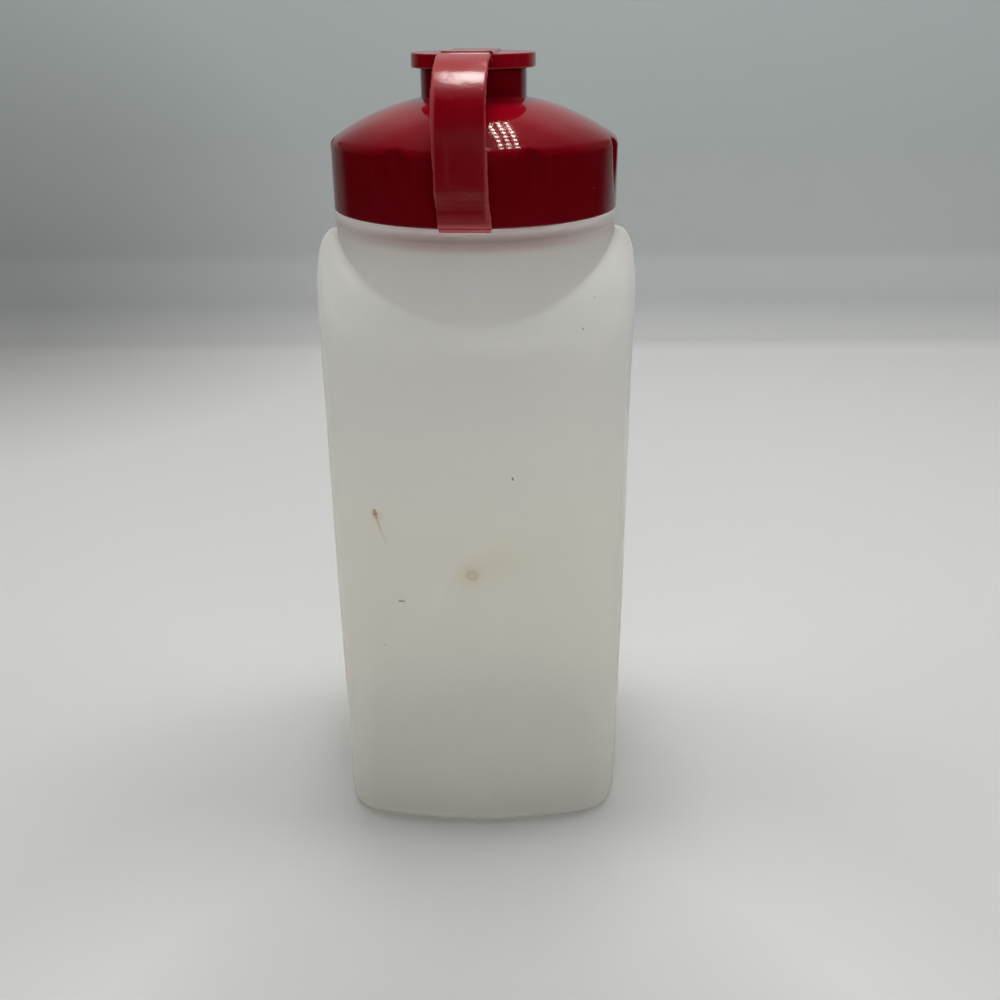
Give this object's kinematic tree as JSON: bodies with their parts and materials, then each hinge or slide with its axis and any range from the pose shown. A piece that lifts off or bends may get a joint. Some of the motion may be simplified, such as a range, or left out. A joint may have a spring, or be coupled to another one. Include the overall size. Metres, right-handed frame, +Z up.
{
  "type": "flip-top bottle",
  "caption": "Oblong translucent plastic bottle with round corners and an arched shoulder, a screw-on domed red cap, a pouring spout and a flexible strap that carries the spout's flip-top lid.",
  "frame": {"origin": "centre of the bottle's base, on the surface that it stands on", "axes": "+Z up along the bottle's axis; -Y towards the side where the strap comes down the cap; X and Y square to the four sides, with the wider sides facing Y"},
  "size_m": [0.0834, 0.0773, 0.2085],
  "materials": {
    "natural_plastic": "translucent unpigmented polyethylene, satin",
    "red_cap": "glossy moulded polypropylene",
    "red_strap": "soft-gloss low-density polyethylene, slightly translucent",
    "seal": "matt soft seal"
  },
  "bodies": {
    "bottle": {"bottle": "natural_plastic"},
    "seal": {"cap_gasket": "seal"},
    "cap": {"screw_cap": "red_cap"},
    "strap": {"lid_strap": "red_strap"},
    "lid": {"spout_lid": "red_strap"}
  },
  "joints": [
    {"name": "cap_rise", "type": "slide", "parent": "bottle", "child": "seal", "axis": [0, 0, 1], "range_m": [0, 0.00625]},
    {"name": "cap_turn", "type": "hinge", "parent": "seal", "child": "cap", "pos_m": [0, 0, 0.175], "axis": [0, 0, 1], "range_deg": [0, 450]},
    {"name": "strap_swing", "type": "hinge", "parent": "cap", "child": "strap", "pos_m": [-0.00263, -0.03761, 0.172], "axis": [0.9976, -0.0698, 0], "range_deg": [0, 100]},
    {"name": "lid_tip", "type": "hinge", "parent": "strap", "child": "lid", "pos_m": [-0.00118, -0.01686, 0.207], "axis": [0.9976, -0.0698, 0], "range_deg": [0, 75]}
  ],
  "couplings": [
    {"joint": "cap_rise", "follows": "cap_turn", "m_per_rad": 0.00079577},
    {"joint": "lid_tip", "follows": "strap_swing", "ratio": 0.75}
  ]
}
